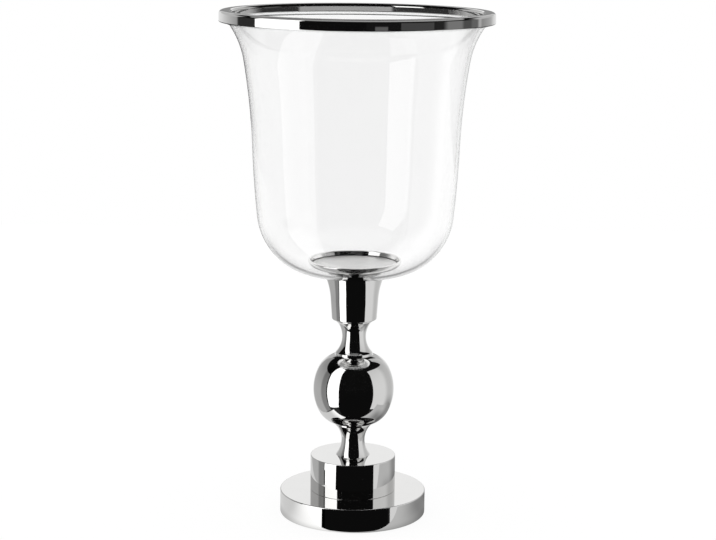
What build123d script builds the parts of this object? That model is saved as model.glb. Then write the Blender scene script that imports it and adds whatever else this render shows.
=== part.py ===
import math
import os

from build123d import *

# Driving dimensions in millimetres
total_height = 452.0
felt_radius = 59.0
felt_thickness = 2.0
felt_proud = 0.5
plate_radius = 65.5
plate_height = 21.4
plate_edge = 0.7
plate_foot_edge = 1.5
pocket_radius = 15.0
pocket_depth = 12.5
drum_radius = 38.2
drum_height = 31.9
drum_edge = 0.5
neck_end_radius = 16.4
lower_foot_radius = 15.2
lower_waist_radius = 10.4
lower_waist_height = 14.2
lower_neck_height = 29.65
lower_neck_land = 1.2
upper_waist_radius = 10.6
upper_neck_height = 32.2
upper_neck_foot = 1.9
upper_neck_land = 1.5
ball_radius = 36.1
ball_belly_radius = 43.5
ball_belly_angle = 25.8
ball_shoulder_radius = 24.3
ball_flat_radius = 16.7
collar_radius = 20.0
collar_flare_radius = 21.3
collar_flare_height = 18.6
collar_top_radius = 26.4
collar_height = 39.5
collar_edge = 1.0
well_radius = 10.5
well_depth = 17.5
rod_radius = 4.0
rod_bottom = 3.0
rod_chamfer = 0.8
register_radius = 8.0
register_length = 3.0
washer_radius = 8.0
washer_thickness = 1.6
lock_washer_radius = 7.4
lock_washer_thickness = 2.0
lock_washer_slit = 1.5
nut_flats = 13.0
nut_height = 6.5
gasket_radius = 24.0
gasket_flange = 1.5
gasket_sleeve = 1.5
glass_wall = 3.0
glass_hole_radius = 10.0
bowl_flat_radius = 29.5
bowl_shoulder_radius = 57.5
bowl_shoulder_angle = 84.0
waist_swell = 4.3
waist_share = 0.501
flare_spread = 7.6
flare_share = 0.8405
lip_spread = 16.3
lip_drop = 7.2
lip_bed = 3.9
ring_width = 11.0
ring_skirt = 9.5
ring_flange = 7.5
ring_wall = 1.2
ring_corner = 2.6
seal_recess = 0.5
seal_bead = 0.8
seal_show = 3.0
seal_lean = 3.6
dish_washer_radius = 16.0
dish_washer_thickness = 2.7
boss_radius = 7.5
boss_engagement = 10.0
rod_headroom = 1.2
dish_radius = 42.0
dish_foot_radius = 36.6
dish_floor_radius = 38.2
dish_floor = 2.3
dish_depth = 4.7
dish_bead = 1.25

# Clearances
thread_gap = 0.05
rod_gap = 0.2
register_gap = 0.1
sleeve_gap = 0.2
boss_gap = 0.4
felt_gap = 0.3

# Heights of the stack, from the felt up
plate_bottom = felt_proud
plate_top = plate_bottom + plate_height
drum_top = plate_top + drum_height
lower_neck_top = drum_top + lower_neck_height
belly_turn = math.radians(ball_belly_angle)
belly_centre = ball_radius - ball_belly_radius
shoulder_centre = belly_centre + (ball_belly_radius - ball_shoulder_radius) * math.cos(belly_turn)
shoulder_rise = (ball_belly_radius - ball_shoulder_radius) * math.sin(belly_turn)
shoulder_end = math.degrees(math.acos((ball_flat_radius - shoulder_centre) / ball_shoulder_radius))
ball_half_height = shoulder_rise + ball_shoulder_radius * math.sin(math.radians(shoulder_end))
ball_centre = lower_neck_top + ball_half_height
ball_top = ball_centre + ball_half_height
upper_neck_top = ball_top + upper_neck_height
collar_top = upper_neck_top + collar_height
glass_bottom = collar_top + gasket_flange
glass_floor = glass_bottom + glass_wall
dish_bottom = glass_floor + dish_washer_thickness
dish_floor_top = dish_bottom + dish_floor
dish_top = dish_floor_top + dish_depth
rod_top = dish_bottom - rod_headroom
boss_bottom = rod_top - boss_engagement

# Glass bell and the ring that follows its lip
lip_top = total_height - lip_drop
bell_height = lip_top - glass_bottom
shoulder_turn = math.radians(bowl_shoulder_angle)
waist_radius = bowl_flat_radius + bowl_shoulder_radius * math.sin(shoulder_turn) + waist_swell
flare_radius = waist_radius + flare_spread
lip_radius = flare_radius + lip_spread
waist_level = glass_bottom + waist_share * bell_height
flare_level = glass_bottom + flare_share * bell_height
ring_radius = lip_radius + lip_bed + ring_wall
ring_inner_radius = ring_radius - ring_width

upwards = (Align.CENTER, Align.CENTER, Align.MIN)
os.makedirs("parts", exist_ok=True)


def disc(radius, low, high, mode=Mode.ADD):
    with Locations((0, 0, low)):
        Cylinder(radius, high - low, align=upwards, mode=mode)


def bore_stem(low, high):
    # Spigot under a stem piece, socket in its top face and the rod bore through both
    disc(register_radius, low - register_length, low)
    disc(register_radius + register_gap, high - register_length - register_gap, high, Mode.SUBTRACT)
    disc(rod_radius + rod_gap, low - register_length, high, Mode.SUBTRACT)


def rim_edges(solid, height):
    return [edge for edge in solid.edges().filter_by(GeomType.CIRCLE) if abs(edge.center().Z - height) < 0.01]


def finish(solid, name):
    solid.label = name
    export_step(solid, f"parts/{name}.step")
    print(name, round(solid.volume / 1000, 2), "cm3")


# Felt pad let into the underside of the base
with BuildPart() as felt_pad:
    disc(felt_radius, 0, felt_thickness)
finish(felt_pad.part, "felt_pad")

# Base plate with the felt recess, the nut pocket and the socket for the drum
with BuildPart() as base_plate:
    disc(plate_radius, plate_bottom, plate_top)
    fillet(rim_edges(base_plate.part, plate_top), plate_edge)
    fillet(rim_edges(base_plate.part, plate_bottom), plate_foot_edge)
    disc(felt_radius + felt_gap, plate_bottom, felt_thickness, Mode.SUBTRACT)
    disc(pocket_radius, felt_thickness, felt_thickness + pocket_depth, Mode.SUBTRACT)
    disc(register_radius + register_gap, plate_top - register_length - register_gap, plate_top, Mode.SUBTRACT)
    disc(rod_radius + rod_gap, felt_thickness, plate_top, Mode.SUBTRACT)
finish(base_plate.part, "base_plate")

# Drum standing on the plate
with BuildPart() as base_drum:
    disc(drum_radius, plate_top, drum_top)
    fillet(rim_edges(base_drum.part, drum_top) + rim_edges(base_drum.part, plate_top), drum_edge)
    bore_stem(plate_top, drum_top)
finish(base_drum.part, "base_drum")

# Lower neck, a hollow curve between drum and ball
with BuildPart() as lower_neck:
    with BuildSketch(Plane.XZ):
        with BuildLine():
            waist = ThreePointArc(
                (lower_foot_radius, drum_top),
                (lower_waist_radius, drum_top + lower_waist_height),
                (neck_end_radius, lower_neck_top - lower_neck_land),
            )
            Polyline(waist @ 1, (neck_end_radius, lower_neck_top), (0, lower_neck_top), (0, drum_top), waist @ 0)
        make_face()
    revolve(axis=Axis.Z)
    bore_stem(drum_top, lower_neck_top)
finish(lower_neck.part, "lower_neck")

# Ball, a belly arc with tighter shoulders and a flat at each pole
with BuildPart() as ball:
    with BuildSketch(Plane.XZ):
        with BuildLine():
            belly = CenterArc(
                (belly_centre, ball_centre), ball_belly_radius, -ball_belly_angle, 2 * ball_belly_angle
            )
            shoulder_sweep = shoulder_end - ball_belly_angle
            over = CenterArc(
                (shoulder_centre, ball_centre + shoulder_rise), ball_shoulder_radius, ball_belly_angle, shoulder_sweep
            )
            under = CenterArc(
                (shoulder_centre, ball_centre - shoulder_rise), ball_shoulder_radius, -shoulder_end, shoulder_sweep
            )
            Polyline(over @ 1, (0, ball_top), (0, lower_neck_top), under @ 0)
        make_face()
    revolve(axis=Axis.Z)
    bore_stem(lower_neck_top, ball_top)
finish(ball.part, "ball")

# Upper neck between ball and collar
with BuildPart() as upper_neck:
    with BuildSketch(Plane.XZ):
        with BuildLine():
            curve_low = ball_top + upper_neck_foot
            curve_high = upper_neck_top - upper_neck_land
            waist = ThreePointArc(
                (neck_end_radius, curve_low),
                (upper_waist_radius, (curve_low + curve_high) / 2),
                (neck_end_radius, curve_high),
            )
            Polyline(waist @ 1, (neck_end_radius, upper_neck_top), (0, upper_neck_top))
            Polyline((0, upper_neck_top), (0, ball_top), (neck_end_radius, ball_top), waist @ 0)
        make_face()
    revolve(axis=Axis.Z)
    bore_stem(ball_top, upper_neck_top)
finish(upper_neck.part, "upper_neck")

# Collar, tapered and then flared, with the well for the upper nut
with BuildPart() as collar:
    with BuildSketch(Plane.XZ):
        with BuildLine():
            taper = Line((collar_radius, upper_neck_top), (collar_flare_radius, upper_neck_top + collar_flare_height))
            flare = TangentArc(taper @ 1, (collar_top_radius, collar_top), tangent=taper % 1)
            Polyline(flare @ 1, (0, collar_top), (0, upper_neck_top), taper @ 0)
        make_face()
    revolve(axis=Axis.Z)
    fillet(rim_edges(collar.part, upper_neck_top), collar_edge)
    disc(register_radius, upper_neck_top - register_length, upper_neck_top)
    disc(rod_radius + rod_gap, upper_neck_top - register_length, collar_top, Mode.SUBTRACT)
    disc(well_radius, collar_top - well_depth, collar_top, Mode.SUBTRACT)
finish(collar.part, "collar")

# Tie rod through the whole stem
with BuildPart() as tie_rod:
    disc(rod_radius, rod_bottom, rod_top)
    chamfer(tie_rod.edges().filter_by(GeomType.CIRCLE), rod_chamfer)
finish(tie_rod.part, "tie_rod")


def flat_washer(low):
    disc(washer_radius, low, low + washer_thickness)
    disc(rod_radius + rod_gap, low, low + washer_thickness, Mode.SUBTRACT)


def hex_nut(low):
    with BuildSketch(Plane.XY.offset(low)) as hexagon:
        RegularPolygon(nut_flats / 2, 6, major_radius=False)
    extrude(hexagon.sketch, amount=nut_height)
    disc(rod_radius + thread_gap, low, low + nut_height, Mode.SUBTRACT)


# Fasteners under the base, from the pocket roof down
base_washer_low = felt_thickness + pocket_depth - washer_thickness
lock_washer_low = base_washer_low - lock_washer_thickness
base_nut_low = lock_washer_low - nut_height

with BuildPart() as base_washer:
    flat_washer(base_washer_low)
finish(base_washer.part, "base_washer")

with BuildPart() as base_lock_washer:
    disc(lock_washer_radius, lock_washer_low, base_washer_low)
    disc(rod_radius + rod_gap, lock_washer_low, base_washer_low, Mode.SUBTRACT)
    with Locations((lock_washer_radius, 0, lock_washer_low)):
        Box(lock_washer_radius * 2, lock_washer_slit, lock_washer_thickness, align=upwards, mode=Mode.SUBTRACT)
finish(base_lock_washer.part, "base_lock_washer")

with BuildPart() as base_nut:
    hex_nut(base_nut_low)
finish(base_nut.part, "base_nut")

# Fasteners in the collar well
well_floor = collar_top - well_depth

with BuildPart() as column_washer:
    flat_washer(well_floor)
finish(column_washer.part, "column_washer")

with BuildPart() as column_nut:
    hex_nut(well_floor + washer_thickness)
finish(column_nut.part, "column_nut")

# Rubber top hat between collar and glass
with BuildPart() as seat_gasket:
    sleeve_radius = glass_hole_radius - sleeve_gap
    disc(gasket_radius, collar_top, glass_bottom)
    disc(sleeve_radius, glass_bottom, glass_floor - sleeve_gap)
    disc(sleeve_radius - gasket_sleeve, collar_top, glass_floor, Mode.SUBTRACT)
finish(seat_gasket.part, "seat_gasket")

# Glass bell, one wall thickness from the hole to the lip
with BuildPart() as glass_shade:
    with BuildSketch(Plane.XZ):
        with BuildLine():
            floor = Line((glass_hole_radius, glass_bottom), (bowl_flat_radius, glass_bottom))
            bowl = JernArc(floor @ 1, floor % 1, bowl_shoulder_radius, bowl_shoulder_angle)
            belly = TangentArc(bowl @ 1, (waist_radius, waist_level), tangent=bowl % 1)
            flare = TangentArc(belly @ 1, (flare_radius, flare_level), tangent=belly % 1)
            TangentArc(flare @ 1, (lip_radius, lip_top), tangent=flare % 1)
            offset(amount=glass_wall, side=Side.LEFT)
        make_face()
    revolve(axis=Axis.Z)
finish(glass_shade.part, "glass_shade")

# Rim ring, a channel of sheet metal open below
with BuildPart() as rim_ring:
    with BuildSketch(Plane.XZ):
        with BuildLine():
            FilletPolyline(
                (ring_radius, total_height - ring_skirt),
                (ring_radius, total_height),
                (ring_inner_radius, total_height),
                (ring_inner_radius, total_height - ring_flange),
                radius=ring_corner,
            )
            offset(amount=ring_wall, side=Side.LEFT)
        make_face()
    revolve(axis=Axis.Z)
finish(rim_ring.part, "rim_ring")

# Clear seal bedding the glass lip in the ring
with BuildPart() as rim_seal:
    with BuildSketch(Plane.XZ):
        with BuildLine():
            seal_outer = ring_radius - ring_wall
            seal_inner = ring_inner_radius + ring_wall
            seal_top = total_height - ring_wall
            seal_floor = total_height - ring_flange + seal_recess
            bead_top = total_height - ring_skirt + seal_recess
            bead_tip = (lip_radius - seal_lean, total_height - ring_skirt - seal_show)
            Polyline(
                (seal_inner, seal_floor),
                (seal_inner, seal_top),
                (seal_outer, seal_top),
                (seal_outer, bead_top),
                (lip_radius + seal_bead, bead_top),
                bead_tip,
                (bead_tip[0] - glass_wall / 2, bead_tip[1]),
                (lip_radius - glass_wall * 0.75, seal_floor),
                close=True,
            )
        make_face()
    revolve(axis=Axis.Z)
    fillet(rim_edges(rim_seal.part, seal_top), ring_corner - ring_wall)
    add(glass_shade.part, mode=Mode.SUBTRACT)
finish(rim_seal.part, "rim_seal")

# Rubber washer on the glass floor
with BuildPart() as dish_washer:
    disc(dish_washer_radius, glass_floor, dish_bottom)
    disc(boss_radius + boss_gap, glass_floor, dish_bottom, Mode.SUBTRACT)
finish(dish_washer.part, "dish_washer")

# Threaded boss under the dish
with BuildPart() as dish_boss:
    disc(boss_radius, boss_bottom, dish_bottom)
    disc(rod_radius + thread_gap, boss_bottom, dish_bottom, Mode.SUBTRACT)
finish(dish_boss.part, "dish_boss")

# Candle dish, a shallow bowl with a rounded rim
with BuildPart() as candle_dish:
    with BuildSketch(Plane.XZ):
        with BuildLine():
            rim_low = dish_top - dish_bead
            wall = TangentArc((dish_radius, rim_low), (dish_foot_radius, dish_bottom), tangent=(0, -1))
            rim = ThreePointArc(
                (dish_radius, rim_low),
                (dish_radius - dish_bead, dish_top),
                (dish_radius - 2 * dish_bead, rim_low),
            )
            Polyline(rim @ 1, (dish_floor_radius, dish_floor_top), (0, dish_floor_top), (0, dish_bottom), wall @ 1)
        make_face()
    revolve(axis=Axis.Z)
finish(candle_dish.part, "candle_dish")
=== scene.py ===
import math

import bmesh
import bpy
from mathutils import Matrix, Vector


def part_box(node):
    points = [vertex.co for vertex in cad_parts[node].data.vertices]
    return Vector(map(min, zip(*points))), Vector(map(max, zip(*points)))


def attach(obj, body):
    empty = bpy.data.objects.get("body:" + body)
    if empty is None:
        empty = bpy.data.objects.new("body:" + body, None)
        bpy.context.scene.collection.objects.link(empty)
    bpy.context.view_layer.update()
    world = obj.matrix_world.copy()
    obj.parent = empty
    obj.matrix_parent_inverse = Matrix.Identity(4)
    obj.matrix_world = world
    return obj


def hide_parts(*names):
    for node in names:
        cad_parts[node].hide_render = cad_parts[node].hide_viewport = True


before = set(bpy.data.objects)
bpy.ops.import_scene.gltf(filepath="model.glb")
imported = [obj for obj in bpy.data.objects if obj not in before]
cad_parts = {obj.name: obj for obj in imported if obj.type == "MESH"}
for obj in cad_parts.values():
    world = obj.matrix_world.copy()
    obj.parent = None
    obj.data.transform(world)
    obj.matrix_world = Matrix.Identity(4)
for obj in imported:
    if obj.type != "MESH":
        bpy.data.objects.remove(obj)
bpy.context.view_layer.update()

mm = 0.001  # profiles are drawn in millimetres, the scene is in metres
facets = {"nut": 72, "small": 96, "soft": 128, "stem": 192, "wide": 256, "ring": 320}  # faces round
cornerSteps = 6  # faces across a rounded edge
hold = 0.15  # distance of a holding point from the end of a straight run
touching = 0.0001  # points closer than this are one point of a profile
seamGap = 0.002  # vertices closer than this are merged


def top(node):
    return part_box(node)[1].z / mm


def bottom(node):
    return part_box(node)[0].z / mm


def outer(node):
    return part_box(node)[1].x / mm


# Profiles: lists of (radius, height) in millimetres
def run(start, end):  # straight, with a holding point near each end so that flats stay flat
    length = math.dist(start, end)
    points = [start]
    if length > 4 * hold:
        for share in (hold / length, 1 - hold / length):
            points.append(tuple(a + (b - a) * share for a, b in zip(start, end)))
    return points + [end]


def arc(centre, radius, first, last, steps):  # angles in degrees, 0 outwards and 90 upwards
    points = []
    for step in range(steps + 1):
        angle = math.radians(first + (last - first) * step / steps)
        points.append((centre[0] + radius * math.cos(angle), centre[1] + radius * math.sin(angle)))
    return points


def corner(centreR, centreZ, radius, first):  # a rounded edge of a quarter turn
    return arc((centreR, centreZ), radius, first, first + 90, cornerSteps)


def joined(*stretches):  # one outline from stretches that meet end to end
    points = []
    for stretch in stretches:
        for point in stretch:
            if not points or math.dist(points[-1], point) > touching:
                points.append(point)
    return points


class Bend:  # an arc that leaves a point along a heading and ends at another point
    def __init__(self, start, heading, end):
        across = (end[0] - start[0], end[1] - start[1])
        side = (-math.sin(math.radians(heading)), math.cos(math.radians(heading)))
        reach = across[0] * side[0] + across[1] * side[1]
        self.radius = (across[0] ** 2 + across[1] ** 2) / (2 * reach)  # negative when it bends to the right
        self.centre = (start[0] + side[0] * self.radius, start[1] + side[1] * self.radius)
        self.first = heading - 90
        self.last = 2 * math.degrees(math.atan2(across[1], across[0])) - heading - 90
        self.endHeading = self.last + 90

    def points(self, inwards=0, steps=24, first=None):  # inwards shifts it to the left of its heading
        begin = self.first if first is None else first
        return arc(self.centre, self.radius - inwards, begin, self.last, steps)

    def angleAt(self, height, inwards=0):  # where the shifted arc passes a height
        rise = (height - self.centre[1]) / (self.radius - inwards)
        angle = math.degrees(math.asin(rise))
        options = [angle, 180 - angle, -180 - angle, angle + 360, angle - 360]
        middle = (self.first + self.last) / 2
        return min(options, key=lambda option: abs(option - middle))


# Drawing an outline, and turning it as on a lathe
def drawEdge(name, points):  # a chain of edges through (x, y, z) in millimetres, left in edit mode
    bpy.ops.object.select_all(action="DESELECT")
    bpy.ops.mesh.primitive_plane_add(size=2 * mm, location=(0, 0, 0))
    piece = bpy.context.object
    piece.name = piece.data.name = name
    bpy.ops.object.mode_set(mode="EDIT")
    bpy.ops.mesh.select_all(action="SELECT")
    bpy.ops.mesh.merge(type="CENTER")
    bpy.ops.transform.translate(value=tuple(side * mm for side in points[0]))
    for before, after in zip(points, points[1:]):
        shift = tuple((b - a) * mm for a, b in zip(before, after))
        bpy.ops.mesh.extrude_vertices_move(TRANSFORM_OT_translate={"value": shift})
    return piece


def tidyMesh():  # edit mode: close the seam and turn the faces outwards
    bpy.ops.mesh.select_all(action="SELECT")
    bpy.ops.mesh.remove_doubles(threshold=seamGap * mm)
    bpy.ops.mesh.normals_make_consistent(inside=False)


def lathe(name, profile, closed=True, steps=facets["stem"], smooth=40):
    piece = drawEdge(name, [(radius, 0, height) for radius, height in profile])
    if closed:
        mesh = bmesh.from_edit_mesh(piece.data)
        for vertex in mesh.verts:
            vertex.select = len(vertex.link_edges) == 1
        bmesh.update_edit_mesh(piece.data)
        bpy.ops.mesh.edge_face_add()
    bpy.ops.mesh.select_all(action="SELECT")
    bpy.ops.mesh.spin(steps=steps, angle=2 * math.pi, center=(0, 0, 0), axis=(0, 0, 1))
    tidyMesh()
    bpy.ops.object.mode_set(mode="OBJECT")
    bpy.ops.object.shade_smooth_by_angle(angle=math.radians(smooth))
    return piece


def place(piece, body, node, slot, finish=None):  # the slot's own finish unless another is given
    piece.data.materials.clear()
    piece.data.materials.append(finish or finishes[slot])
    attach(piece, body)
    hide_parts(node)


# Shader sums
class Tone:  # a socket that takes part in sums
    def __init__(self, tree, socket=None):
        self.tree = tree
        self.socket = socket

    def node(self, kind, settings, sockets, output=0):
        made = self.tree.nodes.new(kind)
        for key, value in settings.items():
            if key == "stops":
                self.setStops(made.color_ramp, value)
            else:
                setattr(made, key, value)
        self.fill(made, sockets)
        return Tone(self.tree, made.outputs[output])

    def setStops(self, ramp, stops):
        while len(ramp.elements) < len(stops):
            ramp.elements.new(1)
        for element, (position, colour) in zip(ramp.elements, stops):
            element.position = position
            element.color = (*colour, 1)

    def feed(self, socket, value):
        if isinstance(value, Tone):
            self.tree.links.new(value.socket, socket)
        else:
            socket.default_value = value

    def fill(self, made, sockets):
        for key, value in sockets.items():
            self.feed(made.inputs[key], value)

    def sum(self, operation, *values):
        return self.node("ShaderNodeMath", {"operation": operation}, dict(enumerate(values)))

    def __add__(self, other):
        return self.sum("ADD", self, other)

    def __radd__(self, other):
        return self.sum("ADD", other, self)

    def __sub__(self, other):
        return self.sum("SUBTRACT", self, other)

    def __rsub__(self, other):
        return self.sum("SUBTRACT", other, self)

    def __mul__(self, other):
        return self.sum("MULTIPLY", self, other)

    def __rmul__(self, other):
        return self.sum("MULTIPLY", other, self)

    def __truediv__(self, other):
        return self.sum("DIVIDE", self, other)

    def step(self, low, high, start=0.0, end=1.0):  # from start to end as the value goes from low to high
        return self.node(
            "ShaderNodeMapRange",
            {"interpolation_type": "SMOOTHSTEP"},
            {"Value": self, "From Min": low, "From Max": high, "To Min": start, "To Max": end},
        )

    def window(self, low, high, soft):  # 1 between low and high
        return self.step(low - soft, low + soft) * self.step(high - soft, high + soft, 1.0, 0.0)

    def atLeast(self, count):  # 1 where a whole number has reached a count
        return self.step(count - 0.6, count - 0.4)

    def blend(self, other, mask):
        return self + (other - self) * mask

    def noise(self, spot, scale, detail=2.0, roughness=0.5):
        sockets = {"Vector": spot, "Scale": scale, "Detail": detail, "Roughness": roughness}
        return self.node("ShaderNodeTexNoise", {}, sockets, "Fac")

    def bump(self, height, strength, depth):
        sockets = {"Strength": strength, "Distance": depth * mm, "Height": height}
        return self.node("ShaderNodeBump", {}, sockets)

    def mixColours(self, mask, first, second):  # each a tone or a plain colour
        first, second = [each if isinstance(each, Tone) else (*each, 1) for each in (first, second)]
        return self.node("ShaderNodeMix", {"data_type": "RGBA"}, {0: mask, 6: first, 7: second}, 2)

    def split(self):
        parts = self.node("ShaderNodeSeparateXYZ", {}, {0: self})
        return [Tone(self.tree, output) for output in parts.socket.node.outputs]

    def join(self, x, y, z):
        return self.node("ShaderNodeCombineXYZ", {}, {0: x, 1: y, 2: z})


def fromAxis(x, y):
    return x.sum("SQRT", x * x + y * y)


def azimuthOf(x, y):  # degrees round the lamp, 0 towards the camera and positive to the right
    return x.sum("ARCTAN2", x, 0 - y) * math.degrees(1)


# Finishes
def newFinish(name):
    finish = bpy.data.materials.new(name)
    finish.use_nodes = True
    tree = finish.node_tree
    start = Tone(tree)
    return finish, tree.nodes["Principled BSDF"], start, start.node("ShaderNodeTexCoord", {}, {}, "Object")


def ringSpot(spot):  # turning marks run round the axis, so they depend on radius and height alone
    x, y, z = spot.split()
    return spot.join(fromAxis(x, y), z, 0.0)


nickelLook = {
    "light": (0.790, 0.788, 0.780),
    "deep": (0.745, 0.742, 0.735),
    "roughness": 0.028,
    "turning": {"scale": 2600.0, "detail": 3.0},
    "turningDepth": 0.012,
    "haze": {"scale": 38.0, "detail": 4.0, "roughness": 0.6},
    "hazeDepth": 0.022,
    "hazeRange": (0.55, 0.8),
}


def hazyNickel(start, spot):
    haze = start.noise(spot, **nickelLook["haze"])
    return haze, start.mixColours(haze, nickelLook["light"], nickelLook["deep"])


def nickelFinish():
    finish, shader, start, spot = newFinish("mirrorNickel")
    turning = start.noise(ringSpot(spot), **nickelLook["turning"])
    haze, colour = hazyNickel(start, spot)
    polish = nickelLook["roughness"] + nickelLook["turningDepth"] * turning
    polish = polish + nickelLook["hazeDepth"] * haze.step(*nickelLook["hazeRange"])
    start.fill(shader, {"Base Color": colour, "Roughness": polish, "Metallic": 1.0})
    return finish


dishLook = {
    "satin": 0.42,
    "streaks": {"scale": 1900.0, "detail": 4.0, "roughness": 0.6},
    "streakDepth": 0.16,
    "edge": 0.4 * mm,
    # painted shade for the corner where the dish floor meets its wall
    "cornerShade": (0.06, 0.06, 0.06),
    "cornerShadeHalf": 0.5 * mm,
    "cornerShadeHeight": 0.8 * mm,
    "cornerShadeSoft": 0.2 * mm,
}


def dishFinish(floorRadius, floorTop):  # mirror bright, with a satin floor inside the rim and a painted shade line where the floor meets the wall
    finish, shader, start, spot = newFinish("dishNickel")
    x, y, z = spot.split()
    radius = fromAxis(x, y)
    edge, reach, level = dishLook["edge"], floorRadius * mm, floorTop * mm
    satin = radius.step(reach - edge, reach, 1.0, 0.0) * z.window(level - edge, level + edge, edge / 2)
    half, soft = dishLook["cornerShadeHalf"], dishLook["cornerShadeSoft"]
    cornerShade = radius.window(reach - half, reach + half, soft)  # painted shade: a dark line where wall and floor meet
    cornerShade = cornerShade * z.window(level - edge, level + dishLook["cornerShadeHeight"], soft)
    colour = start.mixColours(cornerShade, hazyNickel(start, spot)[1], dishLook["cornerShade"])
    streaks = start.noise(ringSpot(spot), **dishLook["streaks"])
    polish = nickelLook["roughness"]
    rough = dishLook["satin"] + dishLook["streakDepth"] * (streaks - 0.5)
    rough = polish + (rough - polish) * satin
    start.fill(shader, {"Base Color": colour, "Roughness": rough, "Metallic": 1.0})
    return finish


glassLook = {
    "colour": (0.998, 0.998, 0.998),
    "ior": 1.42,
    "ripple": {"scale": 22.0, "detail": 1.0},
    "rippleStrength": 0.006,
    "rippleDepth": 1.0,
}


def glassFinish():
    finish, shader, start, spot = newFinish("clearGlass")
    ripple = start.noise(spot, **glassLook["ripple"])
    bump = start.bump(ripple, glassLook["rippleStrength"], glassLook["rippleDepth"])
    start.fill(shader, {"Base Color": (*glassLook["colour"], 1), "Roughness": 0.0, "Normal": bump})
    start.fill(shader, {"IOR": glassLook["ior"], "Transmission Weight": 1.0})
    return finish


siliconeLook = {
    "clear": (0.99, 0.99, 0.99),
    "milky": (0.95, 0.96, 0.96),
    "cloud": {"scale": 160.0, "detail": 3.0},
    "roughness": 0.01,
    "cloudRough": 0.03,
    "ior": 1.41,
}


def siliconeFinish():
    finish, shader, start, spot = newFinish("clearSilicone")
    cloud = start.noise(spot, **siliconeLook["cloud"])
    colour = start.mixColours(cloud, siliconeLook["clear"], siliconeLook["milky"])
    rough = siliconeLook["roughness"] + siliconeLook["cloudRough"] * cloud
    start.fill(shader, {"Base Color": colour, "Roughness": rough})
    start.fill(shader, {"IOR": siliconeLook["ior"], "Transmission Weight": 1.0})
    return finish


rubberLook = {
    "black": (0.018, 0.018, 0.019),
    "worn": (0.045, 0.045, 0.047),
    "bloom": {"scale": 70.0, "detail": 3.0},
    "grain": {"scale": 900.0, "detail": 4.0, "roughness": 0.6},
    "roughness": 0.55,
    "grainRough": 0.25,
    "grainStrength": 0.25,
    "grainDepth": 0.2,
}


def rubberFinish():
    finish, shader, start, spot = newFinish("mattRubber")
    grain = start.noise(spot, **rubberLook["grain"])
    bloom = start.noise(spot, **rubberLook["bloom"])
    colour = start.mixColours(bloom, rubberLook["black"], rubberLook["worn"])
    rough = rubberLook["roughness"] + rubberLook["grainRough"] * grain
    bump = start.bump(grain, rubberLook["grainStrength"], rubberLook["grainDepth"])
    start.fill(shader, {"Base Color": colour, "Roughness": rough, "Normal": bump})
    return finish


feltLook = {
    "fibre": (0.075, 0.075, 0.08),
    "shade": (0.022, 0.022, 0.025),
    "fibres": {"scale": 1500.0, "detail": 6.0, "roughness": 0.7},
    "tufts": {"scale": 220.0, "detail": 3.0},
    "fibreShare": 0.65,
    "range": (0.35, 0.68),
    "roughness": 0.85,
    "tuftRough": 0.12,
    "fibreStrength": 0.6,
    "fibreDepth": 0.3,
    "sheen": 0.3,
}


def feltFinish():
    finish, shader, start, spot = newFinish("woolFelt")
    fibres = start.noise(spot, **feltLook["fibres"])
    tufts = start.noise(spot, **feltLook["tufts"])
    share = feltLook["fibreShare"]
    mask = (share * fibres + (1 - share) * tufts).step(*feltLook["range"])
    colour = start.mixColours(mask, feltLook["shade"], feltLook["fibre"])
    rough = feltLook["roughness"] + feltLook["tuftRough"] * tufts
    bump = start.bump(fibres, feltLook["fibreStrength"], feltLook["fibreDepth"])
    start.fill(shader, {"Base Color": colour, "Roughness": rough, "Normal": bump})
    start.fill(shader, {"Sheen Weight": feltLook["sheen"]})
    return finish


zincLook = {
    "bright": (0.66, 0.67, 0.69),
    "dull": (0.48, 0.49, 0.51),
    "spangle": {"scale": 420.0, "detail": 4.0, "roughness": 0.6},
    "lines": {"scale": 5200.0, "detail": 2.0},
    "roughness": 0.22,
    "spangleRough": 0.12,
    "lineRough": 0.1,
}


def zincFinish():
    finish, shader, start, spot = newFinish("zincSteel")
    spangle = start.noise(spot, **zincLook["spangle"])
    lines = start.noise(ringSpot(spot), **zincLook["lines"])
    colour = start.mixColours(spangle, zincLook["bright"], zincLook["dull"])
    rough = zincLook["roughness"] + zincLook["spangleRough"] * spangle
    rough = rough + zincLook["lineRough"] * lines
    start.fill(shader, {"Base Color": colour, "Roughness": rough, "Metallic": 1.0})
    return finish


finishes = {
    "nickel": nickelFinish(),
    "glass": glassFinish(),
    "silicone": siliconeFinish(),
    "rubber": rubberFinish(),
    "felt": feltFinish(),
    "zinc_steel": zincFinish(),
}
print("finishes made")

# Base: felt pad, plate and drum
base = {
    "plateEdge": 0.7,
    "plateFoot": 1.5,
    "feltGap": 0.3,
    "feltSoftness": 0.45,
    "pocketRadius": 15.0,
    "pocketRoof": 14.5,
    "drumEdge": 0.5,
    "boreRadius": 4.2,
    "socketRadius": 8.1,
    "socketDepth": 3.1,
    "spigotRadius": 8.0,
    "spigotGap": 0.1,
}
plateTop = top("base_plate")
drumTop = top("base_drum")
feltTop = top("felt_pad")


def stemFoot(low):  # spigot and shoulder under a stem piece, from the bore outwards
    bore, spigot = base["boreRadius"], base["spigotRadius"]
    foot = low - base["socketDepth"] + base["spigotGap"]
    return joined(run((bore, foot), (spigot, foot)), run((spigot, foot), (spigot, low)))


def stemHead(high):  # socket in the top face, from its rim inwards to the bore
    bore, socket = base["boreRadius"], base["socketRadius"]
    floor = high - base["socketDepth"]
    return joined(run((socket, high), (socket, floor)), run((socket, floor), (bore, floor)))


def makeFelt():
    soft, radius = base["feltSoftness"], outer("felt_pad")
    profile = joined(
        run((0, 0), (radius - soft, 0)),
        corner(radius - soft, soft, soft, -90),
        corner(radius - soft, feltTop - soft, soft, 0),
        run((radius - soft, feltTop), (0, feltTop)),
    )
    return lathe("feltPad", profile, closed=False, steps=facets["soft"])


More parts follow.
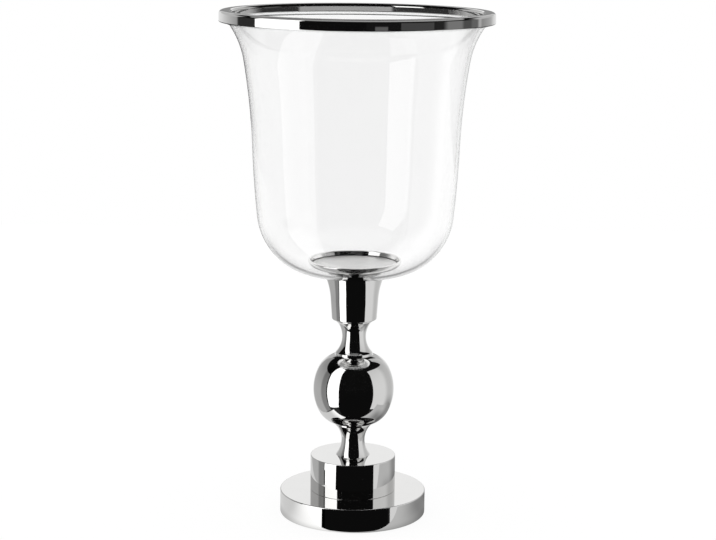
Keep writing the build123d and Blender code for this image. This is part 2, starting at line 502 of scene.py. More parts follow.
def makePlate():
    radius, low = outer("base_plate"), bottom("base_plate")
    recess = outer("felt_pad") + base["feltGap"]
    edge, foot = base["plateEdge"], base["plateFoot"]
    pocket, roof, bore = base["pocketRadius"], base["pocketRoof"], base["boreRadius"]
    profile = joined(
        run((recess, feltTop), (recess, low)),
        run((recess, low), (radius - foot, low)),
        corner(radius - foot, low + foot, foot, -90),
        run((radius, low + foot), (radius, plateTop - edge)),
        corner(radius - edge, plateTop - edge, edge, 0),
        run((radius - edge, plateTop), (base["socketRadius"], plateTop)),
        stemHead(plateTop),
        run((bore, plateTop - base["socketDepth"]), (bore, roof)),
        run((bore, roof), (pocket, roof)),
        run((pocket, roof), (pocket, feltTop)),
        run((pocket, feltTop), (recess, feltTop)),
    )
    return lathe("basePlate", profile[:-1], steps=facets["wide"])


def makeDrum():
    radius, edge = outer("base_drum"), base["drumEdge"]
    profile = joined(
        stemFoot(plateTop),
        run((base["spigotRadius"], plateTop), (radius - edge, plateTop)),
        corner(radius - edge, plateTop + edge, edge, -90),
        run((radius, plateTop + edge), (radius, drumTop - edge)),
        corner(radius - edge, drumTop - edge, edge, 0),
        run((radius - edge, drumTop), (base["socketRadius"], drumTop)),
        stemHead(drumTop),
    )
    return lathe("baseDrum", profile, steps=facets["wide"])


place(makeFelt(), "stand", "felt_pad", "felt")
place(makePlate(), "stand", "base_plate", "nickel")
place(makeDrum(), "stand", "base_drum", "nickel")
print("base turned")

# Stem: lower neck, ball, upper neck and collar
stem = {
    "neckEnd": 16.4,
    "waistSteps": 48,
    "lowerFoot": 15.2,
    "lowerWaist": 10.4,
    "lowerWaistHeight": 14.2,
    "lowerLand": 1.2,
    "upperWaist": 10.6,
    "upperFoot": 1.9,
    "upperLand": 1.5,
    "bellyRadius": 43.5,
    "bellyAngle": 25.8,
    "bellySteps": 28,
    "shoulderRadius": 24.3,
    "shoulderSteps": 24,
    "ballFlat": 16.7,
    "collarRadius": 20.0,
    "collarFlare": 21.3,
    "collarFlareHeight": 18.6,
    "collarFlareSteps": 20,
    "collarEdge": 1.0,
    "collarTaper": 0.07,
    "wellRadius": 10.5,
    "wellDepth": 17.5,
}
neckTop = top("lower_neck")
ballTop = top("ball")
upperTop = top("upper_neck")
collarTop = top("collar")
wellFloor = collarTop - stem["wellDepth"]


def throughThree(first, middle, last, steps):  # arc through three points
    ax, ay = first
    bx, by = middle
    cx, cy = last
    twice = 2 * (ax * (by - cy) + bx * (cy - ay) + cx * (ay - by))
    a2, b2, c2 = ax * ax + ay * ay, bx * bx + by * by, cx * cx + cy * cy
    centre = (
        (a2 * (by - cy) + b2 * (cy - ay) + c2 * (ay - by)) / twice,
        (a2 * (cx - bx) + b2 * (ax - cx) + c2 * (bx - ax)) / twice,
    )
    # A hollow curve has its centre outside, so its angles stay clear of 0
    begin, end = [math.degrees(math.atan2(y - centre[1], x - centre[0])) % 360 for x, y in (first, last)]
    return arc(centre, math.dist(centre, first), begin, end, steps)


def makeLowerNeck():
    end, land = stem["neckEnd"], stem["lowerLand"]
    waist = throughThree(
        (stem["lowerFoot"], drumTop),
        (stem["lowerWaist"], drumTop + stem["lowerWaistHeight"]),
        (end, neckTop - land),
        stem["waistSteps"],
    )
    profile = joined(
        stemFoot(drumTop),
        run((base["spigotRadius"], drumTop), waist[0]),
        waist,
        run(waist[-1], (end, neckTop)),
        run((end, neckTop), (base["socketRadius"], neckTop)),
        stemHead(neckTop),
    )
    return lathe("lowerNeck", profile)


def makeBall():
    belly, bellyAngle = stem["bellyRadius"], stem["bellyAngle"]
    shoulder, flat, steps = stem["shoulderRadius"], stem["ballFlat"], stem["shoulderSteps"]
    middle = (neckTop + ballTop) / 2
    bellyCentre = outer("ball") - belly
    turn = math.radians(bellyAngle)
    shoulderR = bellyCentre + (belly - shoulder) * math.cos(turn)
    shoulderRise = (belly - shoulder) * math.sin(turn)
    shoulderEnd = math.degrees(math.acos((flat - shoulderR) / shoulder))
    profile = joined(
        stemFoot(neckTop),
        run((base["spigotRadius"], neckTop), (flat, neckTop)),
        arc((shoulderR, middle - shoulderRise), shoulder, -shoulderEnd, -bellyAngle, steps),
        arc((bellyCentre, middle), belly, -bellyAngle, bellyAngle, stem["bellySteps"]),
        arc((shoulderR, middle + shoulderRise), shoulder, bellyAngle, shoulderEnd, steps),
        run((flat, ballTop), (base["socketRadius"], ballTop)),
        stemHead(ballTop),
    )
    return lathe("stemBall", profile, steps=facets["wide"])


def makeUpperNeck():
    end = stem["neckEnd"]
    low, high = ballTop + stem["upperFoot"], upperTop - stem["upperLand"]
    middle = (stem["upperWaist"], (low + high) / 2)
    profile = joined(
        stemFoot(ballTop),
        run((base["spigotRadius"], ballTop), (end, ballTop)),
        run((end, ballTop), (end, low)),
        throughThree((end, low), middle, (end, high), stem["waistSteps"]),
        run((end, high), (end, upperTop)),
        run((end, upperTop), (base["socketRadius"], upperTop)),
        stemHead(upperTop),
    )
    return lathe("upperNeck", profile)


def makeCollar():
    radius, edge, well = stem["collarRadius"], stem["collarEdge"], stem["wellRadius"]
    knee = (stem["collarFlare"], upperTop + stem["collarFlareHeight"])
    lean = math.degrees(math.atan2(knee[1] - upperTop, knee[0] - radius))
    flare = Bend(knee, lean, (outer("collar"), collarTop))
    profile = joined(
        stemFoot(upperTop),
        run((base["spigotRadius"], upperTop), (radius - edge, upperTop)),
        corner(radius - edge, upperTop + edge, edge, -90),
        run((radius + edge * stem["collarTaper"], upperTop + edge), knee),
        flare.points(steps=stem["collarFlareSteps"]),
        run((outer("collar"), collarTop), (well, collarTop)),
        run((well, collarTop), (well, wellFloor)),
        run((well, wellFloor), (base["boreRadius"], wellFloor)),
    )
    return lathe("stemCollar", profile)


place(makeLowerNeck(), "stand", "lower_neck", "nickel")
place(makeBall(), "stand", "ball", "nickel")
place(makeUpperNeck(), "stand", "upper_neck", "nickel")
place(makeCollar(), "stand", "collar", "nickel")
print("stem turned")

# Rod and fasteners
rod = {
    "radius": 4.0,
    "threadDepth": 0.62,
    "pitch": 1.25,
    "chamfer": 0.8,
    "stepsPerPitch": 8,
    "facets": 48,
    "near": 0.01,
}
fastener = {
    "flats": 13.0,
    "chamferAngle": 30.0,
    "sharpAngle": 20.0,
    "boreRadius": 4.05,
    "lead": 0.5,
    "washerBore": 4.2,
    "round": 0.25,
    "slit": (14.0, 1.5, 8.0),
}


def makeRod():  # threaded from the floor of the collar's well to the top, plain below
    low, high, chamfer = bottom("tie_rod"), top("tie_rod"), rod["chamfer"]
    radius, step = rod["radius"], rod["pitch"] / rod["stepsPerPitch"]
    rings = int((high - chamfer - wellFloor) / step)
    thread = [(radius, wellFloor + step * ring) for ring in range(rings + 1)]
    profile = joined(
        run((0, low), (radius - chamfer, low)),
        run((radius - chamfer, low), (radius, low + chamfer)),
        run((radius, low + chamfer), thread[0]),
        thread,
        run(thread[-1], (radius - chamfer, high)),
        run((radius - chamfer, high), (0, high)),
    )
    piece = lathe("tieRod", profile, closed=False, steps=rod["facets"])
    for vertex in piece.data.vertices:
        reach = math.hypot(vertex.co.x, vertex.co.y) / mm
        height = vertex.co.z / mm
        if reach > radius - rod["near"] and height > wellFloor + rod["near"]:
            turn = math.atan2(vertex.co.y, vertex.co.x) / (2 * math.pi)
            phase = (height / rod["pitch"] - turn) % 1
            cut = 1 - abs(2 * phase - 1)  # a ridge and a groove in each pitch
            fade = min(1, (height - wellFloor) / rod["pitch"])
            shrink = 1 - rod["threadDepth"] * cut * fade / radius
            vertex.co.x *= shrink
            vertex.co.y *= shrink
    return piece


def makeNut(name, node):
    low, high = bottom(node), top(node)
    half, bore, lead = fastener["flats"] / 2, fastener["boreRadius"], fastener["lead"]
    sixth = math.pi / 3
    tip = half / math.cos(sixth / 2)
    drop = (tip - half) * math.tan(math.radians(fastener["chamferAngle"]))
    profile = joined(
        run((bore + lead, low), (half, low)),
        run((half, low), (tip, low + drop)),
        run((tip, low + drop), (tip, high - drop)),
        run((tip, high - drop), (half, high)),
        run((half, high), (bore + lead, high)),
        run((bore + lead, high), (bore, high - lead)),
        run((bore, high - lead), (bore, low + lead)),
    )
    piece = lathe(name, profile, steps=facets["nut"], smooth=fastener["sharpAngle"])
    for vertex in piece.data.vertices:  # the six flats, which cut into the turned chamfers
        reach = math.hypot(vertex.co.x, vertex.co.y)
        angle = math.atan2(vertex.co.y, vertex.co.x) % sixth - sixth / 2
        flat = half * mm / math.cos(angle)
        if reach > flat:
            vertex.co.x *= flat / reach
            vertex.co.y *= flat / reach
    return piece


def makeWasher(name, node, bore=fastener["washerBore"], soft=fastener["round"], steps=facets["small"]):
    low, high, radius = bottom(node), top(node), outer(node)
    profile = joined(
        run((bore, low), (radius - soft, low)),
        corner(radius - soft, low + soft, soft, -90),
        corner(radius - soft, high - soft, soft, 0),
        run((radius - soft, high), (bore, high)),
    )
    return lathe(name, profile, steps=steps)


def makeLockWasher():  # a flat ring cut through on one side
    piece = makeWasher("baseLockWasher", "base_lock_washer")
    slit = fastener["slit"]
    bpy.ops.object.select_all(action="DESELECT")
    middle = (slit[0] / 2 * mm, 0, bottom("base_lock_washer") * mm)
    bpy.ops.mesh.primitive_cube_add(size=1, location=middle)
    cutter = bpy.context.object
    cutter.scale = [side * mm for side in slit]
    cut = piece.modifiers.new("slit", "BOOLEAN")
    cut.object = cutter
    cut.operation = "DIFFERENCE"
    bpy.context.view_layer.objects.active = piece
    bpy.ops.object.modifier_apply(modifier=cut.name)
    bpy.data.objects.remove(cutter)
    return piece


place(makeRod(), "stand", "tie_rod", "zinc_steel")
for name, node in (("baseNut", "base_nut"), ("columnNut", "column_nut")):
    place(makeNut(name, node), "stand", node, "zinc_steel")
for name, node in (("baseWasher", "base_washer"), ("columnWasher", "column_washer")):
    place(makeWasher(name, node), "stand", node, "zinc_steel")
place(makeLockWasher(), "stand", "base_lock_washer", "zinc_steel")
print("rod and fasteners made")

# Glass bell
bell = {
    "wall": 3.0,
    "hole": 10.0,
    "holeSteps": 5,
    "bowlFlat": 29.5,
    "shoulderRadius": 57.5,
    "shoulderAngle": 84.0,
    "bowlSteps": 60,
    "waistSwell": 4.3,
    "waistShare": 0.501,
    "flareSpread": 7.6,
    "flareShare": 0.8405,
    "sideSteps": 40,
    "lipSpread": 16.3,
    "lipDrop": 7.2,
    "mouthSteps": 24,
    "lipRound": 0.8,
    "lipSteps": 8,
    "edge": 0.6,
    "sharpAngle": 60.0,
}
rimTop = top("rim_ring")
glassLow = bottom("glass_shade")
lipTop = rimTop - bell["lipDrop"]


def bellCurves():
    height = lipTop - glassLow
    shoulder, angle = bell["shoulderRadius"], bell["shoulderAngle"]
    bowlCentre = (bell["bowlFlat"], glassLow + shoulder)
    bowlEnd = arc(bowlCentre, shoulder, -90, angle - 90, 1)[-1]
    waist = (bowlEnd[0] + bell["waistSwell"], glassLow + bell["waistShare"] * height)
    flare = (waist[0] + bell["flareSpread"], glassLow + bell["flareShare"] * height)
    lip = (flare[0] + bell["lipSpread"], lipTop)
    belly = Bend(bowlEnd, angle, waist)
    opening = Bend(waist, belly.endHeading, flare)
    mouth = Bend(flare, opening.endHeading, lip)
    return bowlCentre, belly, opening, mouth


bowlCentre, bellyBend, openBend, mouthBend = bellCurves()


def bellSide(inwards):  # one side of the wall, from the hole to the lip
    shoulder, level = bell["shoulderRadius"] - inwards, glassLow + inwards
    return joined(
        run((bell["hole"] + bell["edge"], level), (bell["bowlFlat"], level)),
        arc(bowlCentre, shoulder, -90, bell["shoulderAngle"] - 90, bell["bowlSteps"]),
        bellyBend.points(inwards, bell["sideSteps"]),
        openBend.points(inwards, bell["sideSteps"]),
        mouthBend.points(inwards, bell["mouthSteps"]),
    )


def atLip(point, along, across):  # a point moved along the wall at the lip and across it
    turn = math.radians(mouthBend.endHeading)
    return (
        point[0] + along * math.cos(turn) - across * math.sin(turn),
        point[1] + along * math.sin(turn) + across * math.cos(turn),
    )


def makeGlass():
    wall, edge, hole = bell["wall"], bell["edge"], bell["hole"]
    outside, inside = bellSide(0), bellSide(wall)
    lipCentre = tuple((a + b) / 2 for a, b in zip(outside[-1], inside[-1]))
    inset = bell["lipRound"] * wall / 2
    lip = []  # fire polished, kept inside the square end
    for step in range(bell["lipSteps"] + 1):
        angle = math.radians(180 * step / bell["lipSteps"] - 90)
        lip.append(atLip(lipCentre, (math.cos(angle) - 1) * inset, math.sin(angle) * wall / 2))
    profile = joined(
        arc((hole + edge, glassLow + edge), edge, 180, 270, bell["holeSteps"]),
        outside[:-2],
        lip,
        list(reversed(inside[:-2])),
        arc((hole + edge, glassLow + wall - edge), edge, 90, 180, bell["holeSteps"]),
    )
    return lathe("glassShade", profile, steps=facets["wide"], smooth=bell["sharpAngle"])


place(makeGlass(), "shade", "glass_shade", "glass")
print("glass bell turned")

# Rim ring and its bedding
rim = {
    "skirt": 9.5,
    "flange": 7.5,
    "wall": 1.2,
    "corner": 2.6,
    "width": 11.0,
    "bendSteps": 12,
    "edgeSteps": 8,
    "sealRecess": 0.5,
    "sealBead": 0.8,
    "sealShow": 1.2,
    "sealLean": 3.6,
    "sealGap": 0.06,
    "sealSteps": {"outside": 12, "inside": 6, "corner": 4, "bead": 8},
    "beadHeading": -100.0,
}
rimOuter = outer("rim_ring")
rimInner = rimOuter - rim["width"]


def makeRing():  # a channel of sheet metal with rolled edges, open below
    wall, bend, half = rim["wall"], rim["corner"], rim["wall"] / 2
    bendSteps, edgeSteps = rim["bendSteps"], rim["edgeSteps"]
    skirtLow, flangeLow = rimTop - rim["skirt"], rimTop - rim["flange"]
    outerBend, innerBend = (rimOuter - bend, rimTop - bend), (rimInner + bend, rimTop - bend)
    profile = joined(
        arc((rimOuter - half, skirtLow + half), half, 180, 360, edgeSteps),
        run((rimOuter, skirtLow + half), (rimOuter, rimTop - bend)),
        arc(outerBend, bend, 0, 90, bendSteps),
        run((rimOuter - bend, rimTop), (rimInner + bend, rimTop)),
        arc(innerBend, bend, 90, 180, bendSteps),
        run((rimInner, rimTop - bend), (rimInner, flangeLow + half)),
        arc((rimInner + half, flangeLow + half), half, 180, 360, edgeSteps),
        run((rimInner + wall, flangeLow + half), (rimInner + wall, rimTop - bend)),
        arc(innerBend, bend - wall, 180, 90, edgeSteps),
        run((rimInner + bend, rimTop - wall), (rimOuter - bend, rimTop - wall)),
        arc(outerBend, bend - wall, 90, 0, edgeSteps),
        run((rimOuter - wall, rimTop - bend), (rimOuter - wall, skirtLow + half)),
    )
    return lathe("rimRing", profile[:-1], steps=facets["ring"])


def makeSeal():  # fills the channel round the glass lip, with a small bead below it on the outside
    gap, wall, bend, steps = rim["sealGap"], rim["wall"], rim["corner"] - rim["wall"], rim["sealSteps"]
    sealOuter, sealInner, high = rimOuter - wall - gap, rimInner + wall + gap, rimTop - wall - gap
    sealFloor = rimTop - rim["flange"] + rim["sealRecess"]
    beadTop = rimTop - rim["skirt"] + rim["sealRecess"]
    beadLow = rimTop - rim["skirt"] - rim["sealShow"]
    lipRadius = bellSide(0)[-1][0]
    inwards = bell["wall"] + gap
    outside = mouthBend.points(-gap, steps["outside"], first=mouthBend.angleAt(beadLow, -gap))
    inside = mouthBend.points(inwards, steps["inside"], first=mouthBend.angleAt(sealFloor, inwards))
    outside[-1], inside[-1] = atLip(outside[-1], gap, 0), atLip(inside[-1], gap, 0)
    beadStart, beadEnd = (lipRadius + rim["sealBead"], beadTop), (lipRadius - rim["sealLean"], beadLow)
    bead = Bend(beadStart, rim["beadHeading"], beadEnd)
    profile = joined(
        outside,
        list(reversed(inside)),
        [(sealInner, sealFloor), (sealInner, high - bend)],
        arc((sealInner + bend, high - bend), bend, 180, 90, steps["corner"]),
        arc((sealOuter - bend, high - bend), bend, 90, 0, steps["corner"]),
        [(sealOuter, beadTop)],
        bead.points(steps=steps["bead"]),
    )
    return lathe("rimSeal", profile, steps=facets["wide"])


place(makeRing(), "shade", "rim_ring", "nickel")
place(makeSeal(), "shade", "rim_seal", "silicone")
print("rim ring and seal made")

# Seat gasket, dish washer, boss and candle dish
seat = {"hole": 8.3, "sleeve": 9.8, "soft": 0.35}
dish = {
    "washerBore": 7.9,
    "bossBore": 4.05,
    "bossEdge": 0.5,
    "foot": 36.6,
    "floorRadius": 38.2,
    "floor": 2.3,
    "bead": 1.25,
    "beadSteps": 16,
    "wallSteps": 14,
}
dishLow = bottom("candle_dish")
dishTop = top("candle_dish")
floorTop = dishLow + dish["floor"]


def makeGasket():  # a rubber top hat, flange under the glass and sleeve in its hole
    low, soft, hole = bottom("seat_gasket"), seat["soft"], seat["hole"]
    radius, sleeve, high = outer("seat_gasket"), seat["sleeve"], top("seat_gasket")
    profile = joined(
        run((hole, low), (radius - soft, low)),
        corner(radius - soft, low + soft, soft, -90),
        corner(radius - soft, glassLow - soft, soft, 0),
        run((radius - soft, glassLow), (sleeve, glassLow)),
        run((sleeve, glassLow), (sleeve, high - soft)),
        corner(sleeve - soft, high - soft, soft, 0),
        run((sleeve - soft, high), (hole, high)),
    )
    return lathe("seatGasket", profile, steps=facets["soft"])


def makeBoss():
    low, high, radius = bottom("dish_boss"), top("dish_boss"), outer("dish_boss")
    bore, edge = dish["bossBore"], dish["bossEdge"]
    profile = joined(
        run((bore + edge, low), (radius - edge, low)),
        corner(radius - edge, low + edge, edge, -90),
        run((radius, low + edge), (radius, high)),
        run((radius, high), (bore, high)),
        run((bore, high), (bore, low + edge)),
    )
    return lathe("dishBoss", profile, steps=facets["small"])


def makeDish():
    bead, radius, foot = dish["bead"], outer("candle_dish"), (dish["foot"], dishLow)
    rimLow, floorEdge = dishTop - bead, (dish["floorRadius"], floorTop)
    wall = Bend((radius, rimLow), -90, foot)
    profile = joined(
        run((0, dishLow), foot),
        list(reversed(wall.points(steps=dish["wallSteps"]))),
        arc((radius - bead, rimLow), bead, 0, 180, dish["beadSteps"]),
        run((radius - 2 * bead, rimLow), floorEdge),
        run(floorEdge, (0, floorTop)),
    )
    return lathe("candleDish", profile, closed=False)


place(makeGasket(), "stand", "seat_gasket", "rubber")
dishWasher = makeWasher("dishWasher", "dish_washer", dish["washerBore"], seat["soft"], facets["soft"])
place(dishWasher, "washer", "dish_washer", "rubber")
place(makeBoss(), "dish", "dish_boss", "nickel")
place(makeDish(), "dish", "candle_dish", "nickel", dishFinish(dish["floorRadius"], floorTop))
print("seat and dish made")

# Camera at the photograph's viewpoint
view = {
    "lens": 97.85,
    "sensor": 36.0,
    "distance": 1696.3,
    "eye": 556.1,
    "aside": 2.9,
    "pitch": 11.10,
    "roll": 0.61,
}


def makeCamera():
    lens = bpy.data.cameras.new("viewCamera")
    lens.lens = view["lens"]
    lens.sensor_width = view["sensor"]
    lens.sensor_fit = "HORIZONTAL"
    camera = bpy.data.objects.new("viewCamera", lens)
    bpy.context.scene.collection.objects.link(camera)
    spot = Matrix.Translation((view["aside"] * mm, -view["distance"] * mm, view["eye"] * mm))
    tilt = Matrix.Rotation(math.radians(90 - view["pitch"]), 4, "X")
    lean = Matrix.Rotation(math.radians(view["roll"]), 4, "Z")
    camera.matrix_world = spot @ tilt @ lean
    bpy.context.scene.camera = camera


makeCamera()
print("camera placed")

# Studio: what polished metal and glass see in each direction, cards and a pale floor
# A Side is in degrees of azimuth and a Band in degrees of elevation
# Two numbers are the start and end of a change, three are a window and the softness of its ends
room = {  # what is seen past the cards, with no glass between
    "dark": 0.0045,
    "frontSide": (-50.0, 59.0, 0.8),
    "horizon": [  # azimuth and brightness at the level of the rim ring
        (-180, 0.85), (-162, 0.85), (-150, 0.80), (-117, 0.38), (-115, 0.03), (60, 0.02), (75, 0.02),
        (80, 0.22), (95, 0.22), (98, 0.09), (107, 0.09), (109, 0.15), (117, 0.15), (120, 0.50),
        (122, 0.50), (125, 0.31), (145, 0.48), (152, 0.70), (165, 0.85), (180, 0.85),
    ],
    "horizonBand": (5, 11),
    "backCeiling": 0.55,
    "ceilingSide": (112, 122),
    "ceilingBand": (24, 32),
    "rimLevel": 0.28,
    "rimSide": (166, 172),
    "rimBand": (1, 7, 1),
    "panel": 1.0,
    "panelSide": (171, 174),
    "panelBand": (8, 27, 1),
    "mouthCeiling": 1.0,
    "mouthBand": (48, 58),
    "plain": 1.0,
}
outlook = {  # what a reflection shows of the room beyond the glass
    "acrossSide": (-60, 60),
    "left": 0.20,
    "right": 0.22,
    "low": 0.26,
    "lowBand": (-14, -8),
    "back": 1.15,
    "rearLeftSide": (-125, -90),
    "rearRightSide": (72, 108),
    "backFall": 0.78,
    "fallSide": (105, 150),
    "fallBand": (-32, -14),
    "ceilingLeft": 0.25,
    "ceilingRight": 0.35,
    "ceilingBand": (54, 62),
    "frontSide": (-43, 59, 1),
    "frontBand": (70, 80),
    "gap": 0.04,
    "level": 0.38,
    "levelSide": (-33, 57, 2),
    "levelBack": 0.5,
    "levelBackSide": (100, 125),
    "levelBand": (-6, 2, 0.5),
    "stripe": 0.45,
    "stripeSide": (59, 112, 1),
    "stripeBand": (15, 32, 3),
}


def bareView(azimuth, elevation, behind):
    stops = [(angle / 360 + 0.5, (bright,) * 3) for angle, bright in room["horizon"]]
    seen = azimuth.node("ShaderNodeValToRGB", {"stops": stops}, {0: azimuth / 360 + 0.5})
    ceiling = behind.step(*room["ceilingSide"]) * elevation.step(*room["ceilingBand"], 1.0, 0.0)
    above = room["dark"] + room["backCeiling"] * ceiling
    seen = seen.blend(above, elevation.step(*room["horizonBand"]))
    seen = seen.blend(room["rimLevel"], behind.step(*room["rimSide"]) * elevation.window(*room["rimBand"]))
    panel = behind.step(*room["panelSide"]) * elevation.window(*room["panelBand"])  # for the level faces
    return seen.blend(room["panel"], panel).blend(room["dark"], azimuth.window(*room["frontSide"]))


def glassView(azimuth, elevation, behind):  # out through one wall of the bell, and through two
    through = azimuth.step(*outlook["acrossSide"], outlook["left"], outlook["right"])
    through = through + elevation.step(*outlook["lowBand"], outlook["low"], 0.0)
    fall = behind.step(*outlook["fallSide"]) * elevation.step(*outlook["fallBand"], outlook["backFall"], 0.0)
    rear = azimuth.step(*outlook["rearLeftSide"], 1.0, 0.0) + azimuth.step(*outlook["rearRightSide"])
    through = through.blend(outlook["back"] - fall, rear)
    ceiling = azimuth.step(*outlook["acrossSide"], outlook["ceilingLeft"], outlook["ceilingRight"])
    through = through.blend(ceiling, elevation.step(*outlook["ceilingBand"]))
    front = azimuth.window(*outlook["frontSide"]) * elevation.step(*outlook["frontBand"], 1.0, 0.0)
    through = through.blend(room["dark"], front)
    level = outlook["gap"] + outlook["level"] * azimuth.window(*outlook["levelSide"])
    level = level + outlook["levelBack"] * behind.step(*outlook["levelBackSide"])
    stripe = azimuth.window(*outlook["stripeSide"]) * elevation.window(*outlook["stripeBand"])
    oneWall = through.blend(level, elevation.window(*outlook["levelBand"]))
    return oneWall, through.blend(outlook["stripe"], stripe)


def makeWorld():
    world = bpy.data.worlds.new("studio")
    bpy.context.scene.world = world
    world.use_nodes = True
    background = world.node_tree.nodes["Background"]
    background.inputs["Strength"].default_value = 1.0
    start = Tone(world.node_tree)
    x, y, z = start.node("ShaderNodeTexCoord", {}, {}, "Generated").split()
    azimuth = azimuthOf(x, y)
    elevation = start.sum("ARCSINE", z) * math.degrees(1)
    behind = start.sum("ABSOLUTE", azimuth)

    path = {}
    for output in ("Glossy Depth", "Transmission Depth", "Is Transmission Ray"):
        path[output] = start.node("ShaderNodeLightPath", {}, {}, output)
    surfaces = path["Transmission Depth"]  # a wall of the bell has two
    seen = bareView(azimuth, elevation, behind)
    seen = seen.blend(room["mouthCeiling"], surfaces.atLeast(2) * elevation.step(*room["mouthBand"]))
    oneWall, twoWalls = glassView(azimuth, elevation, behind)
    mirrored = seen.blend(oneWall.blend(twoWalls, surfaces.atLeast(3)), path["Is Transmission Ray"])
    plain = room["plain"]  # straight on, and straight through the glass
    start.feed(background.inputs["Color"], plain + (mirrored - plain) * path["Glossy Depth"].atLeast(1))


# Cards round the lamp, in millimetres: only reflections see them, and the bell shows the softbox too
# Four numbers are the start and end of a change and the values there
cardSteps = 48  # faces along a round card


def cardFinish(name, glow):  # glow turns azimuth and place into brightness
    finish, shader, start, spot = newFinish(name)
    nodes = finish.node_tree.nodes
    nodes.remove(shader)
    x, y, z = spot.split()
    brightness = glow(azimuthOf(x, y), x / mm, y / mm, z / mm)
    light = start.node("ShaderNodeEmission", {}, {"Color": brightness, "Strength": 1.0})
    start.fill(nodes["Material Output"], {"Surface": light})
    return finish


def onlyReflected(card, glow):
    finish = cardFinish(card.name + "Glow", glow)
    card.data.materials.append(finish)
    card.visible_camera = card.visible_diffuse = card.visible_shadow = card.visible_transmission = False
    return finish


def roundLamp(size):  # a path that keeps its distance from the lamp
    return arc((0, 0), size["radius"], size["from"] - 90, size["to"] - 90, cardSteps)


def sheet(name, path):  # an edge along a path on the ground, ready to be pulled into a sheet
    card = drawEdge(name, [(x, y, 0) for x, y in path])
    bpy.ops.mesh.select_all(action="SELECT")
    return card


def standCard(name, size, path):  # a sheet standing on a path, whose edges can slope
    card = sheet(name, path)
    bpy.ops.mesh.extrude_region_move(TRANSFORM_OT_translate={"value": (0, 0, 1)})
    bpy.ops.object.mode_set(mode="OBJECT")
    spots = [(x * mm, y * mm) for x, y in path]
    for vertex in card.data.vertices:
        nearest = min(range(len(spots)), key=lambda i: math.dist(spots[i], vertex.co.xy))
        near, far = size["high"] if vertex.co.z > 0.5 else size["low"]
        vertex.co.z = (near + (far - near) * nearest / (len(spots) - 1)) * mm
    return card


def layCard(name, size):  # a level sheet
    card = sheet(name, size["outline"])
    bpy.ops.mesh.edge_face_add()
    bpy.ops.transform.translate(value=(0, 0, size["lift"] * mm))
    bpy.ops.object.mode_set(mode="OBJECT")
    return card


softbox = {
    "ends": [(-310, -77), (-268, -312)],
    "low": (-108, -172),
    "high": (665, 800),
    "bright": (-81, -42, 1.55, 1.65),
    "farEdge": (-110, 50, -272, -312),
    "soft": 2,
    "clearTop": (130, 150),
}
apron = {"outline": [(-178, -47), (-163, -87), (-126, -135), (-266, -310), (-305, -80)], "lift": 0.2}


def apronGlow(azimuth, x, y, z):  # a sheet on the floor that carries the softbox on towards the lamp
    return azimuth.step(*softbox["bright"])


def softboxGlow(azimuth, x, y, z):  # its far edge slants inwards towards the floor
    farEdge = z.step(*softbox["farEdge"])
    return apronGlow(azimuth, x, y, z) * (y - farEdge).step(-softbox["soft"], softbox["soft"])


def showThroughBell(card, finish):  # seen through both walls, but not through one, nor low down
    card.visible_transmission = True
    tree = finish.node_tree
    start = Tone(tree)
    surfaces = start.node("ShaderNodeLightPath", {}, {}, "Transmission Depth")
    height = start.node("ShaderNodeTexCoord", {}, {}, "Object").split()[2] / mm
    passing = surfaces.atLeast(2) * (1 - surfaces.atLeast(3) * height.step(*softbox["clearTop"]))
    surface = tree.nodes["Material Output"].inputs["Surface"]
    glow = Tone(tree, surface.links[0].from_socket)
    clear = start.node("ShaderNodeBsdfTransparent", {}, {})
    start.feed(surface, start.node("ShaderNodeMixShader", {}, {0: passing, 1: glow, 2: clear}))


leftCard = {
    "low": (-110, -110),
    "high": (428, 428),
    "radius": 260,
    "from": -79.0,
    "to": -152.0,
    "bright": (-104, -95, 0.5, 0.27),
    "fade": (60, 280, 1.0, 0.66),
    "edge": (-152, -82, 325, 240),
}
rightCard = {
    "low": (-95, -60),
    "high": (428, 428),
    "radius": 260,
    "from": 54.5,
    "to": 152.0,
    "bright": (92, 114, 0.81, 0.6),
    "rear": (130, 150, 0.0, 0.1),
    "dim": (95, 125, 1.0, 0.5),
    "dimTop": (-30, 60),
    "fade": (120, 378, 1.0, 0.86),
    "edge": (59, 152, 395, 250),
    "rearEdge": (128, 136, 0, 200),
}
darkTop = {"soft": 3, "bright": 0.01}  # of the left and right cards


def underEdge(z, edge):  # dark above a sloping edge
    return (z - edge).step(-darkTop["soft"], darkTop["soft"], 1.0, darkTop["bright"])


def leftGlow(azimuth, x, y, z):
    level = azimuth.step(*leftCard["bright"]) * z.step(*leftCard["fade"])
    return level * underEdge(z, azimuth.step(*leftCard["edge"]))


def rightGlow(azimuth, x, y, z):
    level = azimuth.step(*rightCard["bright"]) + azimuth.step(*rightCard["rear"])
    level = level * azimuth.step(*rightCard["dim"]).blend(1.0, z.step(*rightCard["dimTop"]))
    edge = azimuth.step(*rightCard["edge"]) + azimuth.step(*rightCard["rearEdge"])
    return level * z.step(*rightCard["fade"]) * underEdge(z, edge)


rimCard = {  # dim things in front, which only the ring shows
    "low": (432, 432),
    "high": (450, 450),
    "radius": 190,
    "from": 5.0,
    "to": 45.5,
    "dim": 0.008,
    "window": 0.11,
    "windowSide": (9.8, 16.9, 0.3),
    "windowTop": (441, 442),
    "wall": 0.06,
    "wallSide": (24.3, 45, 0.3),
}


def rimGlow(azimuth, x, y, z):
    window = azimuth.window(*rimCard["windowSide"]) * z.step(*rimCard["windowTop"], 1.0, 0.0)
    level = rimCard["dim"] + rimCard["window"] * window
    return level + rimCard["wall"] * azimuth.window(*rimCard["wallSide"])


overhead = {  # a pale strip close above the front of the ring, which only its rounded edge shows
    "outline": arc((0, 0), 150, -152, -28, 24) + arc((0, 0), 112, -28, -152, 24),
    "lift": 476,
    "bright": (-60, 60, 0.3, 0.42),
}


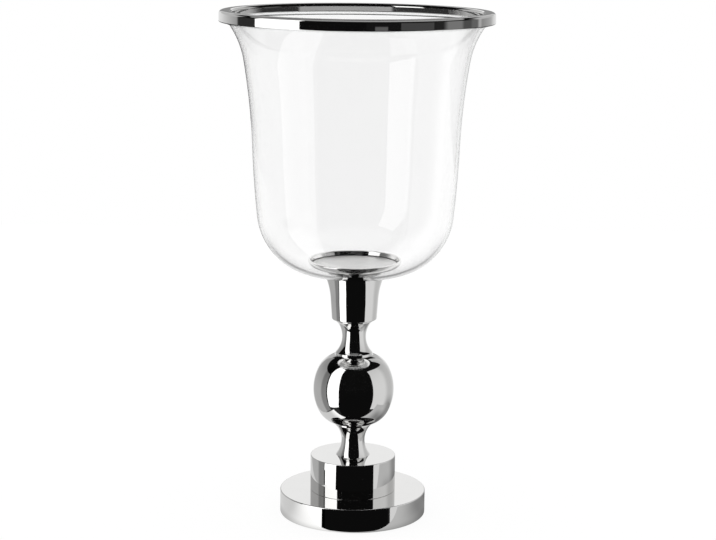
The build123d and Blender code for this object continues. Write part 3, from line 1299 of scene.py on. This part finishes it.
def overheadGlow(azimuth, x, y, z):
    return azimuth.step(*overhead["bright"])


board = {  # the white board under the lamp, whose front edge is close to the plate; its glow is painted light and shadow
    "outline": [(-128, 250), (-128, -66.5), (205, -66.5), (205, 250)],
    "lift": 0.5,
    "left": (-68, -16, 1.30, 0.74),
    "right": (-68, 0, 0.60, 0.27),
    "far": 0.55,
    "farReach": (95, 170),
    "rear": (100, 130, 1.0, 0.55),
    "middle": (-20, 20),
    "near": (62, 80, 0.7, 1.0),
}


# painted light and shadow: brighter on the left under the softbox, darker on the right and close round the
# plate
def boardGlow(azimuth, x, y, z):
    reach = fromAxis(x, y)
    right = y.step(*board["right"]).blend(board["far"], reach.step(*board["farReach"]))
    right = right * azimuth.step(*board["rear"])
    return y.step(*board["left"]).blend(right, x.step(*board["middle"])) * reach.step(*board["near"])


floorLook = {"size": 3.0, "shade": 0.11, "glow": 0.90}


def makeFloor():
    bpy.ops.object.select_all(action="DESELECT")
    bpy.ops.mesh.primitive_plane_add(size=floorLook["size"], location=(0, 0, 0))
    floor = bpy.context.object
    floor.name = "paleFloor"
    finish, shader, start, spot = newFinish("paleFloor")
    seen = start.node("ShaderNodeLightPath", {}, {}, "Is Camera Ray")
    start.fill(shader, {"Base Color": (floorLook["shade"],) * 3 + (1,), "Roughness": 1.0})
    start.fill(shader, {"Specular IOR Level": 0.0})
    start.fill(shader, {"Emission Color": seen * floorLook["glow"], "Emission Strength": 1.0})
    floor.data.materials.append(finish)
    floor.visible_glossy = floor.visible_transmission = False  # metal and glass see the world instead


makeWorld()
makeFloor()
softboxCard = standCard("softbox", softbox, softbox["ends"])
showThroughBell(softboxCard, onlyReflected(softboxCard, softboxGlow))
onlyReflected(standCard("leftCard", leftCard, roundLamp(leftCard)), leftGlow)
onlyReflected(standCard("rightCard", rightCard, roundLamp(rightCard)), rightGlow)
onlyReflected(standCard("rimCard", rimCard, roundLamp(rimCard)), rimGlow)
onlyReflected(layCard("whiteBoard", board), boardGlow)
onlyReflected(layCard("apron", apron), apronGlow)
onlyReflected(layCard("overhead", overhead), overheadGlow)
bpy.context.scene.view_settings.view_transform = "Standard"
print("studio ready")
